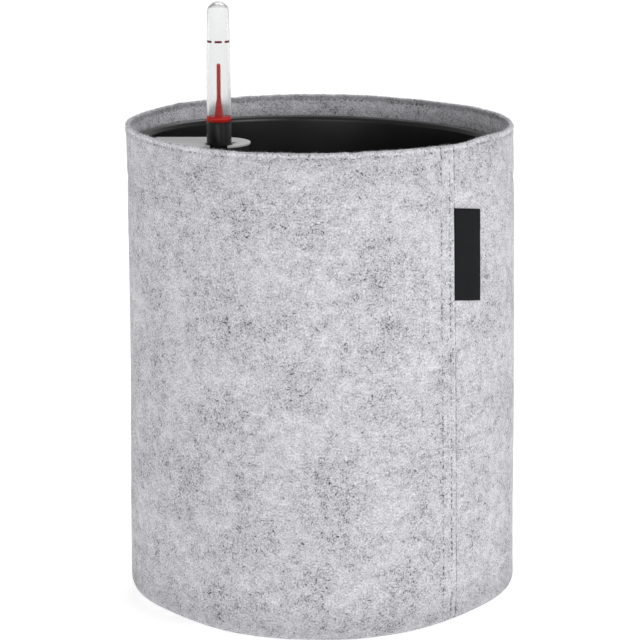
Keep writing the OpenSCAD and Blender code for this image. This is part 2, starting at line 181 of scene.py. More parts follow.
class Shade:
    """A socket in a node tree. Operators add Math nodes, so that node maths reads as plain sums."""

    def __init__(self, tree, socket=None):
        self.tree = tree
        self.socket = socket

    def node(self, kind, settings=None, inputs=None, out=0):
        """Adds a node, sets its settings and then its sockets, and gives one of its outputs."""
        made = self.tree.nodes.new(kind)
        for key, value in (settings or {}).items():
            setattr(made, key, value)
        for key, value in (inputs or {}).items():
            if isinstance(value, Shade):
                self.tree.links.new(value.socket, made.inputs[key])
            else:
                made.inputs[key].default_value = value
        return Shade(self.tree, made.outputs[out])

    def math(self, operation, a, b=0.0):
        """A Math node on one or two values."""
        return self.node("ShaderNodeMath", {"operation": operation}, {0: a, 1: b})

    def __add__(self, other):
        return self.math("ADD", self, other)

    __radd__ = __add__

    def __mul__(self, other):
        return self.math("MULTIPLY", self, other)

    __rmul__ = __mul__

    def __sub__(self, other):
        return self.math("SUBTRACT", self, other)

    def __rsub__(self, other):
        return self.math("SUBTRACT", other, self)

    def __mod__(self, other):
        return self.math("FLOORED_MODULO", self, other)

    def __abs__(self):
        return self.math("ABSOLUTE", self)

    def part(self, axis):
        """One coordinate of a vector, by its number."""
        return self.node("ShaderNodeSeparateXYZ", None, {0: self}, out=axis)

    def rise(self, low, high):
        """0 below low, 1 above high and smooth between; it falls where low is the higher one."""
        inputs = {"Value": self, "From Min": low, "From Max": high}
        return self.node("ShaderNodeMapRange", {"interpolation_type": "SMOOTHSTEP"}, inputs)

    def tint(self, low, high):
        """The colour between low and high, where self is from 0 to 1."""
        return self.node("ShaderNodeMix", {"data_type": "RGBA"}, {0: self, 6: low, 7: high}, out=2)

    def noise(self, size, detail=0.0, rough=0.5, warp=0.0):
        """Noise at a vector, with features of about that size in metres."""
        inputs = {"Vector": self, "Scale": 1.0 / size, "Detail": detail, "Roughness": rough,
                  "Distortion": warp}
        return self.node("ShaderNodeTexNoise", None, inputs)

    def stretched(self, angle, length, width, seed):
        """A vector turned by an angle and measured in lengths along and widths across."""
        inputs = {"Vector": self, "Location": (0.0, 0.0, seed), "Rotation": (0.0, 0.0, math.radians(angle)),
                  "Scale": (length, width, 1.0)}
        return self.node("ShaderNodeMapping", {"vector_type": "TEXTURE"}, inputs)

    def bump(self, distance, strength=1.0):
        """A normal from self as a height, where 1 stands for that distance."""
        return self.node("ShaderNodeBump", None, {"Height": self, "Distance": distance, "Strength": strength})


def new_material(name, constants):
    """A Principled material with its constant sockets set, and a Shade to build on its tree."""
    material = bpy.data.materials.new(name)
    material.use_nodes = True
    for key, value in constants.items():
        material.node_tree.nodes["Principled BSDF"].inputs[key].default_value = value
    return material, Shade(material.node_tree)


def feed(material, inputs):
    """Links Shade values to sockets of the material's Principled shader."""
    shader = material.node_tree.nodes["Principled BSDF"]
    for key, value in inputs.items():
        material.node_tree.links.new(value.socket, shader.inputs[key])


felt_dark = (0.03, 0.03, 0.034, 1)
felt_light = (0.925, 0.918, 0.965, 1)
fibre_angles = (8.0, 52.0, 97.0, 141.0)


def flecked_felt(name, coordinates):
    """A felt of pale and dark fibres that lie every way, in cloudy patches: its material, the place on the
    cloth, its tone from dark to light and its height."""
    material, start = new_material(name, {"Roughness": 0.95, "Specular IOR Level": 0.1, "Sheen Weight": 0.08,
                                          "Sheen Roughness": 0.6})
    cloth = start.node("ShaderNodeTexCoord", out=coordinates)
    cloud = cloth.noise(30.0 * MM, detail=3.0, rough=0.62) - 0.5
    patch = cloth.noise(6.5 * MM, detail=2.0, rough=0.6, warp=0.4) - 0.5
    speck = cloth.noise(2.1 * MM, detail=1.0, warp=0.5) - 0.5
    grain = cloth.noise(1.0 * MM, detail=1.0, rough=0.6) - 0.5
    dark = 0.0
    pale = 0.0
    for seed, angle in enumerate(fibre_angles):
        streak = cloth.stretched(angle, 3.0 * MM, 0.75 * MM, 5.0 * seed).noise(1.0, detail=1.0, warp=0.5)
        thread = cloth.stretched(angle + 23.0, 4.0 * MM, 0.65 * MM, 5.0 * seed + 2.5).noise(1.0, warp=0.6)
        dark = dark + streak.rise(0.60, 0.76)
        pale = pale + thread.rise(0.60, 0.74)
    fleck = dark * (0.6 - 2.0 * cloud - 1.6 * patch).rise(0.0, 1.3)
    tone = 0.665 + 0.36 * cloud + 0.42 * patch + 0.36 * speck + 1.0 * grain - 0.64 * fleck + 0.05 * pale
    height = 0.35 * pale + 0.8 * grain + 0.6 * speck + 0.5 * patch - 0.25 * fleck
    return material, cloth, tone, height


def feed_felt(material, tone, height):
    """Colours a felt by its tone and roughens it by its height."""
    feed(material, {"Base Color": tone.tint(felt_dark, felt_light), "Normal": height.bump(0.3 * MM, 0.7)})


# Columns of points round the cloth, close together at the cut edge and at the rows of the seam
columns = [a * MM for a in (0.0, 0.12, 0.35, 0.7, 1.2, 1.8, 2.4, 2.9, 3.4, 4.0, 4.9, 6.1, 7.2, 7.9, 8.35, 8.8,
                            9.25, 9.8, 10.6)]
columns += spaced(11.8 * MM, round_l - 6.0 * MM, 1.7 * MM)
columns += [round_l - a * MM for a in (6.0, 4.0, 2.4, 1.2, 0.5, 0.0)]

# The half section runs from the turned-in edge up the outside, over the hem and down the inside. Each point
# has the share of the outer face's relief that it takes.
corner_x = sleeve_r - corner_r
hem_r = sleeve_r - 2.0 * felt_t
fold_r = edge_t / 2.0
fold_steps = 8
row_reach = 8.0 * MM
brim = sleeve_h - 6.0 * MM
hem_full = sleeve_h - 10.0 * MM
section = [(x, 0.0, 0.0) for x in spaced(corner_x - turn_in, corner_x, 4.0 * MM)]
section += [(r, z, 0.0) for r, z in arc(corner_x, corner_r, corner_r, -90.0, 0.0, 8)[:-1]]
for z in spaced(corner_r, hem_row - row_reach, 2.8 * MM):
    section.append((sleeve_r, z, smooth(z, 10.0 * MM, 20.0 * MM)))
section += [(sleeve_r, z, 1.0) for z in spaced(hem_row - row_reach, hem_row + row_reach, 1.0 * MM)]
section += [(sleeve_r, z, 1.0) for z in spaced(hem_row + row_reach, brim, 2.0 * MM)]
section += [(sleeve_r, z, 1.0) for z in spaced(brim, sleeve_h - fold_r, 0.6 * MM)]
fold = arc(sleeve_r - fold_r, sleeve_h - fold_r, fold_r, 0.0, 180.0, fold_steps)
section += [(r, z, 1.0 - smooth(i, 0, fold_steps)) for i, (r, z) in enumerate(fold)]
fold_end = len(section) - 1
for z in spaced(sleeve_h - 2.2 * MM, hem_full, 1.3 * MM):
    pressed = smooth(z, sleeve_h - 9.0 * MM, sleeve_h - 1.0 * MM)
    section.append((hem_r + (2.0 * felt_t - edge_t) * pressed, z, 0.0))
section += [(hem_r, z, 0.0) for z in spaced(hem_full, hem_foot, 3.5 * MM)]
section += [(sleeve_r - 1.8 * felt_t, hem_foot, 0.0), (sleeve_r - 1.05 * felt_t, hem_foot, 0.0)]
section += [(sleeve_r - felt_t, z, 0.0) for z in spaced(hem_foot - 1.0 * MM, corner_r, 7.0 * MM)]
section += [(r, z, 0.0) for r, z in arc(corner_x, corner_r, corner_r - felt_t, 0.0, -90.0, 5)]
section += [(corner_x - turn_in / 2.0, felt_t, 0.0), (corner_x - turn_in, felt_t, 0.0)]

# The cloth's own length up the section is wall_v + z on the outside and hem_v - z on the inside
lengths = [0.0]
for (r0, z0, _), (r1, z1, _) in zip(section, section[1:]):
    lengths.append(lengths[-1] + math.hypot(r1 - r0, z1 - z0))
wall_v = turn_in + math.pi / 2.0 * corner_r - corner_r
hem_v = lengths[fold_end] + sleeve_h - fold_r
# Height on the inside of the sleeve where the painted shadow behind the liner's rim lies
rim_shadow_z = 263.4 * MM
rim_bow = 0.13
rim_tilt = 0.0165


def rim_rise(x):
    """How far the rim of the loose liner lies above its level place, most at the left."""
    return rim_bow * x * x - rim_tilt * x


def sleeve_felt():
    """The sleeve's felt, with painted shade in the pinholes along the sewn rows, a painted highlight
    on the cut edge and a painted shadow line beside it, painted shade at the foot, over the hem and in
    a groove inside the fold, painted light below that groove and on the fold's crest, and a painted
    shadow behind the liner's rim."""
    material, cloth, tone, height = flecked_felt("sleeve_felt", "UV")
    round_u = cloth.part(0)
    up_v = cloth.part(1)
    edge_v = wall_v + edge_row
    sewn = [(up_v, round_u, row, 0.46) for row in seam_rows]
    sewn += [(round_u, up_v, wall_v + hem_row, 0.14), (round_u, up_v, edge_v, 0.35),
             (round_u, up_v, hem_v - edge_row, 0.28), (round_u, up_v, hem_v - hem_row, 0.14)]
    # Pinholes along the sewn rows: they dent the felt's height, and their darker tone is painted shade in
    # them.
    pinhole_depth_and_shade = 0.0
    for along, over, row, depth in sewn:
        near = 1.0 - abs(over - row).rise(0.1 * MM, 0.75 * MM)
        pinhole_depth_and_shade = pinhole_depth_and_shade + depth * near * abs(along * (1.0 / stitch_pitch) % 1.0 - 0.5).rise(0.42, 0.24)
    sunk = cloth.noise(4.5 * MM, warp=0.5).rise(0.36, 0.60)
    # A painted highlight along the cut edge, and a painted shadow line on the felt just beside it.
    painted_cut_highlight = 0.13 * round_u.rise(0.9 * MM, 0.3 * MM)
    painted_cut_shadow = (0.10 + 0.22 * sunk) * round_u.rise(round_l - 2.5 * MM, round_l - 1.6 * MM)
    tone = tone - pinhole_depth_and_shade * sunk + (painted_cut_highlight - painted_cut_shadow)
    # Painted shade: the felt grows darker towards the foot.
    painted_foot_shade = up_v.rise(wall_v + 26.0 * MM, wall_v + 1.0 * MM)
    # Painted shade over the hem.
    painted_hem_shade = up_v.rise(wall_v + hem_row - 10.0 * MM, wall_v + hem_row + 25.0 * MM)
    inside = up_v - (hem_v - sleeve_h)
    # Painted shade in a groove just below the top edge on the inside, painted light further down the inside,
    # and a painted highlight along the crest of the fold.
    painted_groove_shade = 1.0 - abs(inside - 1.9 * MM).rise(0.4 * MM, 1.3 * MM)
    painted_inside_light = inside.rise(2.6 * MM, 4.0 * MM) * inside.rise(14.0 * MM, 6.0 * MM)
    painted_crest_light = inside.rise(1.0 * MM, -0.5 * MM) * up_v.rise(edge_v + 0.3 * MM, edge_v + 1.7 * MM)
    # All of the painted shade and painted light above, taken together.
    painted_light_and_shade = 0.24 * painted_foot_shade + 0.07 * painted_hem_shade + 0.21 * painted_groove_shade - 0.13 * painted_inside_light - 0.25 * painted_crest_light
    # A painted shadow on the inside of the sleeve, just behind the liner's tilted rim.
    sideways = cloth.node("ShaderNodeTexCoord", out="Object").part(0)
    below_rim = up_v + rim_rise(sideways) - (hem_v - rim_shadow_z)
    painted_rim_shadow = below_rim.rise(-0.6 * MM, 0.6 * MM) * below_rim.rise(9.0 * MM, 6.0 * MM)
    feed_felt(material, tone * (1.0 - painted_light_and_shade) - 0.14 * painted_rim_shadow, height - pinhole_depth_and_shade)
    return material


sleeve_points = []
for a in columns:
    for r, z, share in section:
        out = share * relief(a, z) if share else 0.0
        point = on_sleeve(a, r + sway(a, z) + out, z + edge_wave(a, z))
        point.z += foot_lift(point)
        sleeve_points.append(point)
rows = len(section)
sleeve_faces = []
face_uvs = []
for i, u in enumerate(columns):
    i_next = (i + 1) % len(columns)
    u_next = columns[i_next] if i_next else u
    for j, v in enumerate(lengths):
        j_next = (j + 1) % rows
        v_next = lengths[j_next] if j_next else v + felt_t
        face = (i * rows + j, i_next * rows + j, i_next * rows + j_next, i * rows + j_next)
        sleeve_faces.append(face)
        face_uvs.append(dict(zip(face, ((u, v), (u_next, v), (u_next, v_next), (u, v_next)))))
felt_sleeve = mesh_piece("felt_sleeve", sleeve_points, sleeve_faces, sleeve_felt())
cloth_uv = felt_sleeve.data.uv_layers.new(name="cloth")
for face, places in zip(felt_sleeve.data.polygons, face_uvs):
    for loop in face.loop_indices:
        cloth_uv.data[loop].uv = places[felt_sleeve.data.loops[loop].vertex_index]
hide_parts("cover_wall")
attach(felt_sleeve, "cover")


# Felt base disc
# A disc cut from the same felt to the inside of the sleeve. It is laid on the sleeve's turned-in bottom edge
# and sewn to it all round, so that its border is drawn up with that edge.
base_low, base_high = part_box("cover_base")
base_r = base_high.x / MM
base_under, base_top = base_low.z / MM, base_high.z / MM
base_rings = (88, 93, 98, 102)
base_round = 0.5


def lathe(name, outline, steps, material, centre=(0.0, 0.0), ring=False):
    """Turns an outline of (radius, height) about a vertical axis. A ring's outline closes on itself; any
    other begins and ends on the axis."""
    cx, cy = centre
    points = []
    index = []
    for r, z in outline:
        if r < 1e-6:
            index.append([len(points)] * steps)
            points.append((cx, cy, z))
            continue
        index.append(list(range(len(points), len(points) + steps)))
        for k in range(steps):
            t = 2.0 * math.pi * k / steps
            points.append((cx + r * math.cos(t), cy + r * math.sin(t), z))
    pairs = list(zip(index, index[1:])) + ([(index[-1], index[0])] if ring else [])
    faces = []
    for low, high in pairs:
        for k in range(steps):
            n = (k + 1) % steps
            corners = list(dict.fromkeys([low[k], low[n], high[n], high[k]]))
            if len(corners) > 2:
                faces.append(corners)
    return mesh_piece(name, points, faces, material)


def rounded(corners, steps=4, closed=False):
    """An outline in metres from corners (x, y, fillet radius) in mm, with an arc at each fillet."""
    outline = []
    count = len(corners)
    for i, (x, y, radius) in enumerate(corners):
        if not radius or (not closed and i in (0, count - 1)):
            outline.append((x * MM, y * MM))
            continue
        here = Vector((x, y))
        back = (Vector(corners[i - 1][:2]) - here).normalized()
        ahead = (Vector(corners[(i + 1) % count][:2]) - here).normalized()
        half = back.angle(ahead) / 2.0
        reach = radius / math.tan(half)
        middle = here + (back + ahead).normalized() * (radius / math.sin(half))
        first = here + back * reach - middle
        last = here + ahead * reach - middle
        swing = first.angle_signed(last)
        for k in range(steps + 1):
            p = middle + first @ Matrix.Rotation(swing * k / steps, 2)
            outline.append((p.x * MM, p.y * MM))
    return outline


base_felt, _, tone, height = flecked_felt("base_felt", "Object")
feed_felt(base_felt, tone, height)
base_corners = [(0, base_under, 0)] + [(r, base_under, 0) for r in base_rings]
base_corners += [(base_r, base_under, base_round), (base_r, base_top, base_round)]
base_corners += [(r, base_top, 0) for r in reversed(base_rings)] + [(0, base_top, 0)]
felt_base = lathe("felt_base", rounded(base_corners), 128, base_felt)
for vertex in felt_base.data.vertices:
    vertex.co.z += foot_lift(vertex.co)
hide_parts("cover_base")
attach(felt_base, "cover")


# Loose fibres
# Short ends of the felt's own fibres that stand out along the fold of the hem, where the felt is bent and
# handled most. They are strewn over the fold and point outwards every way.
fibre_l = 0.9 * MM
fibre_root = 0.10 * MM
fibre_tip = 0.02 * MM
fibres_per_m2 = 1.1e6
fuzzy_from = sleeve_h - 5.0 * MM
fibre_grey, start = new_material("fibre_grey", {"Roughness": 0.95, "Specular IOR Level": 0.1})
dyed = start.node("ShaderNodeTexCoord", out="Object").noise(1.2 * MM, detail=1.0)
feed(fibre_grey, {"Base Color": dyed.rise(0.35, 0.62).tint((0.50, 0.50, 0.52, 1), (0.95, 0.945, 0.98, 1))})


def node_tree(name, inputs):
    """A Geometry Nodes tree with a geometry in and out and named inputs, and a Shade of each input."""
    tree = bpy.data.node_groups.new(name, "GeometryNodeTree")
    tree.interface.new_socket("Geometry", in_out="INPUT", socket_type="NodeSocketGeometry")
    tree.interface.new_socket("Geometry", in_out="OUTPUT", socket_type="NodeSocketGeometry")
    for key, kind in inputs.items():
        tree.interface.new_socket(key, in_out="INPUT", socket_type=kind)
    given = tree.nodes.new("NodeGroupInput")
    return tree, [Shade(tree, out) for out in list(given.outputs)[:len(inputs) + 1]]


def close_tree(shapes, material):
    """Makes a tree's instances real, gives them their material and links them to its output."""
    shapes = shapes.node("GeometryNodeRealizeInstances", None, {"Geometry": shapes})
    shapes = shapes.node("GeometryNodeSetMaterial", None, {"Geometry": shapes, "Material": material})
    result = shapes.tree.nodes.new("NodeGroupOutput")
    shapes.tree.links.new(shapes.socket, result.inputs[0])


def baked(piece, tree, values):
    """Runs a tree on a piece with values for its named inputs, and keeps the result as the piece's mesh."""
    modifier = piece.modifiers.new(tree.name, "NODES")
    modifier.node_group = tree
    for socket in tree.interface.items_tree:
        if socket.in_out == "INPUT" and socket.name in values:
            modifier[socket.identifier] = values[socket.name]
    evaluated = piece.evaluated_get(bpy.context.evaluated_depsgraph_get())
    mesh = bpy.data.meshes.new_from_object(evaluated)
    piece.modifiers.clear()
    piece.data = mesh
    mesh.shade_smooth()
    return piece


fuzz_tree, given = node_tree("fuzz", {"Density": "NodeSocketFloat", "Length": "NodeSocketFloat",
                                      "Seed": "NodeSocketInt", "Fibre": "NodeSocketMaterial"})
cloth, density, length, seed, fibre = given
roots = cloth.node("GeometryNodeDistributePointsOnFaces", None,
                   {"Mesh": cloth, "Density": density, "Seed": seed})
outward = Shade(fuzz_tree, roots.socket.node.outputs["Normal"])
stray = cloth.node("FunctionNodeRandomValue", {"data_type": "FLOAT_VECTOR"},
                   {0: (-1.0, -1.0, -1.0), 1: (1.0, 1.0, 1.0), "Seed": seed})
way = cloth.node("ShaderNodeVectorMath", {"operation": "ADD"}, {0: outward, 1: stray})
lie = cloth.node("FunctionNodeAlignRotationToVector", {"axis": "Z"}, {"Vector": way})
vary = cloth.node("FunctionNodeRandomValue", {"data_type": "FLOAT"}, {2: 0.4, 3: 1.4, "Seed": seed}, out=1)
size = cloth.node("ShaderNodeCombineXYZ", None, {0: 1.0, 1: 1.0, 2: length * vary})
spike = cloth.node("GeometryNodeMeshCone", {"fill_type": "NGON"},
                   {"Vertices": 3, "Radius Top": fibre_tip, "Radius Bottom": fibre_root, "Depth": 1.0})
hairs = cloth.node("GeometryNodeInstanceOnPoints", None,
                   {"Points": roots, "Instance": spike, "Rotation": lie, "Scale": size})
close_tree(hairs, fibre)

fold_rows = [j for j in range(rows - 1) if min(section[j][1], section[j + 1][1]) > fuzzy_from]
fold_faces = [face for k, face in enumerate(sleeve_faces) if k % rows in fold_rows]
edge_fuzz = mesh_piece("edge_fuzz", sleeve_points, fold_faces, fibre_grey)
baked(edge_fuzz, fuzz_tree, {"Density": fibres_per_m2, "Length": fibre_l, "Seed": 11, "Fibre": fibre_grey})
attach(edge_fuzz, "cover")


# Sewing
# Two rows of lockstitch run down the lapped side seam, two round the hem and one round the base. The thread
# is grey like the felt and sinks into it, so that mostly its pinholes show.
stitch_l = 2.5 * MM
thread_t = 0.42 * MM
seam_sunk = 0.19 * MM
hem_sunk = 0.20 * MM
thread_grey, start = new_material("thread_grey", {"Roughness": 0.8, "Specular IOR Level": 0.2})
twist = start.node("ShaderNodeTexCoord", out="Object").noise(0.6 * MM, detail=1.0)
feed(thread_grey, {"Base Color": twist.rise(0.35, 0.65).tint((0.46, 0.455, 0.48, 1), (0.60, 0.595, 0.62, 1))})

stitch_tree, given = node_tree("stitches", {"Pitch": "NodeSocketFloat", "Length": "NodeSocketFloat",
                                            "Thickness": "NodeSocketFloat", "Seed": "NodeSocketInt",
                                            "Thread": "NodeSocketMaterial"})
path, pitch, length, thickness, seed, thread = given
curve = path.node("GeometryNodeMeshToCurve", None, {"Mesh": path})
spots = path.node("GeometryNodeCurveToPoints", {"mode": "LENGTH"}, {"Curve": curve, "Length": pitch})
heading = Shade(stitch_tree, spots.socket.node.outputs["Tangent"])
lie = path.node("FunctionNodeAlignRotationToVector", {"axis": "X"}, {"Vector": heading})
vary = path.node("FunctionNodeRandomValue", {"data_type": "FLOAT"}, {2: 0.85, 3: 1.1, "Seed": seed}, out=1)
size = path.node("ShaderNodeCombineXYZ", None, {0: length * vary, 1: thickness, 2: thickness})
bead = path.node("GeometryNodeMeshUVSphere", None, {"Segments": 6, "Rings": 5, "Radius": 0.5})
sewn = path.node("GeometryNodeInstanceOnPoints", None,
                 {"Points": spots, "Instance": bead, "Rotation": lie, "Scale": size})
close_tree(sewn, thread)


def stitches(name, paths, seed):
    """Rows of stitches along paths of points, as one piece on the cover."""
    points = []
    edges = []
    for path in paths:
        edges += [(len(points) + i, len(points) + i + 1) for i in range(len(path) - 1)]
        points += path
    mesh = bpy.data.meshes.new(name)
    mesh.from_pydata(points, edges, [])
    piece = bpy.data.objects.new(name, mesh)
    bpy.context.scene.collection.objects.link(piece)
    baked(piece, stitch_tree, {"Pitch": stitch_pitch, "Length": stitch_l, "Thickness": thread_t, "Seed": seed,
                               "Thread": thread_grey})
    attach(piece, "cover")
    return piece


# The seam starts a whole number of stitches up the cloth, in step with the pinholes of the felt
seam_z0 = stitch_pitch * math.ceil(wall_v / stitch_pitch + 4.0) - wall_v
seam_zs = spaced(seam_z0, sleeve_h - felt_t, 1.0 * MM)
seam_paths = [[outer_point(row, z, -seam_sunk) for z in seam_zs] for row in seam_rows]
seam_stitches = stitches("seam_stitches", seam_paths, 3)
hem_as = spaced(stitch_pitch, round_l, 2.0 * MM)
hem_paths = [[outer_point(a, row, -hem_sunk) for a in hem_as] for row in (hem_row, edge_row)]
hem_stitches = stitches("hem_stitches", hem_paths, 4)
base_row_r = corner_x - 0.5 * turn_in
base_turns = spaced(0.0, 2.0 * math.pi, 0.02)
base_row = [base_row_r * Vector((math.cos(t), math.sin(t), 0.0)) for t in base_turns + base_turns[:1]]
base_row = [p + Vector((0.0, 0.0, foot_lift(p))) for p in base_row]
base_paths = [[p + Vector((0.0, 0.0, z)) for p in base_row] for z in (0.15 * MM, base_high.z)]
base_stitches = stitches("base_stitches", base_paths, 5)


# Label
# A folded tape, woven of black thread with a plain face. It is caught by its left edge in the side seam, and
# its right edge stands a little off the felt.
label_low, label_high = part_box("label")
label_z0, label_z1 = label_low.z, label_high.z
label_middle = (label_z0 + label_z1) / 2.0
label_w = 21.0 * MM
label_t = 0.8 * MM
label_gap = 0.9 * MM
label_up = 1.2 * MM
label_drop = 3.0 * MM
label_turn = 0.0121
label_bevel = 0.22 * MM
warp_pitch = 0.42 * MM
weft_pitch = 0.30 * MM
tape_black, start = new_material("tape_black", {"Roughness": 0.75, "Specular IOR Level": 0.15})
tape = start.node("ShaderNodeTexCoord", out="UV")
warp = tape.part(0) * (1.0 / warp_pitch) % 1.0
weft = tape.part(1) * (1.0 / weft_pitch) % 1.0
weave = abs(warp - 0.5) * abs(weft - 0.5) * 4.0
worn = tape.noise(4.0 * MM, detail=2.0)
tape_tone = 0.5 * weave + 0.5 * worn
feed(tape_black, {"Base Color": tape_tone.tint((0.011, 0.012, 0.014, 1), (0.005, 0.005, 0.006, 1)),
                  "Normal": (1.0 - weave).bump(0.08 * MM, 0.6)})


def on_label(u, v, side):
    """A point of the tape, u to the right from the seam and v up, on its inner face, edge or outer face."""
    lift = 0.12 * MM + 0.5 * MM * smooth(u, 0.4 * label_w, label_w)
    lift += wander(Vector((u / 0.012, v / 0.015, 2.0)), 0.25 * MM, 1.0)
    inset = label_bevel if side in (0, 2) else 0.0
    u = min(max(u, inset), label_w - inset)
    v = min(max(v, label_z0 + inset), label_z1 - inset)
    z = v + label_up - label_drop * u / label_w
    upright = label_turn * (v - label_middle)
    r = sleeve_r + sway(-u, z) + max(lift, 0.05 * MM) + label_t * side / 2.0
    return on_sleeve(-u - label_gap - upright, r, z)


label_us = spaced(0.0, label_w, 0.9 * MM) + [label_w]
label_vs = spaced(label_z0, label_z1, 1.4 * MM) + [label_z1]
label_grid = [(u, v) for u in label_us for v in label_vs]
label_points = [on_label(u, v, side) for side in (0, 1, 2) for u, v in label_grid]
wide, tall = len(label_us), len(label_vs)
label_faces = []
for side in (0, 2):
    for i in range(wide - 1):
        for j in range(tall - 1):
            k = side * wide * tall + i * tall + j
            label_faces.append((k, k + tall, k + tall + 1, k + 1))
border = [(i, 0) for i in range(wide)] + [(wide - 1, j) for j in range(1, tall)]
border += [(i, tall - 1) for i in range(wide - 2, -1, -1)] + [(0, j) for j in range(tall - 2, 0, -1)]
edges = [[side * wide * tall + i * tall + j for i, j in border] for side in (0, 1, 2)]
for lower, upper in zip(edges, edges[1:]):
    for k in range(len(border)):
        n = (k + 1) % len(border)
        label_faces.append((lower[k], lower[n], upper[n], upper[k]))
label_used = sorted({p for face in label_faces for p in face})
label_new = {p: k for k, p in enumerate(label_used)}
woven_label = mesh_piece("woven_label", [label_points[p] for p in label_used],
                         [[label_new[p] for p in face] for face in label_faces], tape_black)
tape_uv = woven_label.data.uv_layers.new(name="tape")
for loop in woven_label.data.loops:
    tape_uv.data[loop.index].uv = label_grid[label_used[loop.vertex_index] % len(label_grid)]
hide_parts("label")
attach(woven_label, "cover")


# Liner
# A drafted pot of black plastic, injection moulded with a rolled rim. It drops loose into the felt cover,
# where it stands on the base disc with its rim a little tilted.
grain_size = 0.4 * MM
grain_depth = 0.03 * MM


def moulded(name, colour, roughness, mottle=0.25, gloss=0.45):
    """A moulded plastic: a fine eroded grain, with its gloss and shade a little uneven."""
    material, start = new_material(name, {"IOR": 1.49, "Specular IOR Level": gloss})
    place = start.node("ShaderNodeTexCoord", out="Object")
    broad = place.noise(30.0 * MM, detail=3.0, rough=0.6)
    fine = place.noise(grain_size, detail=1.0)
    lower = tuple(c * (1.0 - mottle) for c in colour) + (1.0,)
    upper = tuple(min(1.0, c * (1.0 + mottle)) for c in colour) + (1.0,)
    feed(material, {"Base Color": (0.7 * broad + 0.3 * fine).rise(0.3, 0.7).tint(lower, upper),
                    "Roughness": roughness - 0.06 + 0.12 * broad,
                    "Normal": fine.bump(grain_depth, 0.5)})
    return material


liner_black = moulded("liner_black", (0.008, 0.008, 0.0085), 0.30, gloss=0.58)
rim_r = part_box("liner_pot")[1].x / MM
rim_top = 264.0
rim_hollow = 262.2
rim_skirt = 255.8
rim_round = 3.1
liner_wall = 1.8
liner_floor = 6.18
liner_under = 4.0
flat_r = 60.0
foot_z = 40.0
neck_z = 222.0
draft = math.tan(math.radians(1.2))
liner_seat = 0.2 * MM
liner_shift = 1.5 * MM


def liner_r(z, out=0.0):
    """Radius of the liner's drafted inner face at a height in mm, or of a face further out."""
    return rim_r - 6.4 - (260.8 - z) * draft + out


liner_corners = [(0, liner_floor, 0), (flat_r, liner_floor, 0), (liner_r(liner_floor), liner_floor, 6.2),
                 (liner_r(foot_z), foot_z, 0), (liner_r(neck_z), neck_z, 0),
                 (liner_r(rim_top), rim_top, rim_round), (rim_r, rim_top, rim_round),
                 (rim_r, rim_skirt, 0.6), (rim_r - liner_wall, rim_skirt, 0.6),
                 (rim_r - liner_wall, rim_hollow, 1.4), (rim_r - 4.6, rim_hollow, 1.4),
                 (liner_r(neck_z, liner_wall), neck_z, 0), (liner_r(foot_z, liner_wall), foot_z, 0),
                 (liner_r(liner_under, liner_wall), liner_under, 8), (flat_r, liner_under, 0),
                 (0, liner_under, 0)]
liner = lathe("liner", rounded(liner_corners, steps=7), 160, liner_black)
for vertex in liner.data.vertices:
    push = smooth(vertex.co.z, 120.0 * MM, 260.0 * MM)
    vertex.co.z += (liner_seat + rim_rise(vertex.co.x)) * push
    vertex.co.x -= liner_shift * push
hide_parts("liner_pot")
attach(liner, "liner")


# Soil separator with its feet and shaft
# Black mouldings that stand on the liner's floor: a perforated plate on three slotted hollow feet, and the
# shaft that the water is poured down, which stands on the plate by its flange.
insert_black = moulded("insert_black", (0.020, 0.020, 0.021), 0.5)


def from_cad(name, node, material, body, edge=0.0):
    """A piece with the shape of a CAD node, its points joined, its flat faces flat and its edges rounded."""
    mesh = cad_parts[node].data.copy()
    mesh.name = name
    work = bmesh.new()
    work.from_mesh(mesh)
    work.transform(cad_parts[node].matrix_world)
    bmesh.ops.remove_doubles(work, verts=work.verts, dist=1e-6)
    bmesh.ops.dissolve_limit(work, angle_limit=math.radians(0.5), verts=work.verts, edges=work.edges)
    if edge:
        sharp = [e for e in work.edges if e.calc_face_angle() > math.radians(40.0)]
        bmesh.ops.bevel(work, geom=sharp, offset=edge, segments=3, profile=0.5, affect="EDGES",
                        clamp_overlap=True)
    work.to_mesh(mesh)
    work.free()
    mesh.shade_smooth()
    mesh.set_sharp_from_angle(angle=math.radians(32.0))
    mesh.materials.clear()
    mesh.materials.append(material)
    piece = bpy.data.objects.new(name, mesh)
    bpy.context.scene.collection.objects.link(piece)
    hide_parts(node)
    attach(piece, body)
    return piece


for name, node in (("separator", "separator_plate"), ("feet", "soil_feet"), ("shaft", "supply_shaft")):
    from_cad(name, node, insert_black, "separator")


# Shaft lid
# A tongue of light grey moulded plastic that lies level with the liner's rim and covers the shaft, with two
# lugs below that keep it in place. The indicator stands in its hole, which opens to the front edge.
lid_grey = moulded("lid_grey", (0.69, 0.69, 0.69), 0.42, mottle=0.03)
lid = from_cad("lid", "shaft_lid", lid_grey, "lid", edge=0.25 * MM)


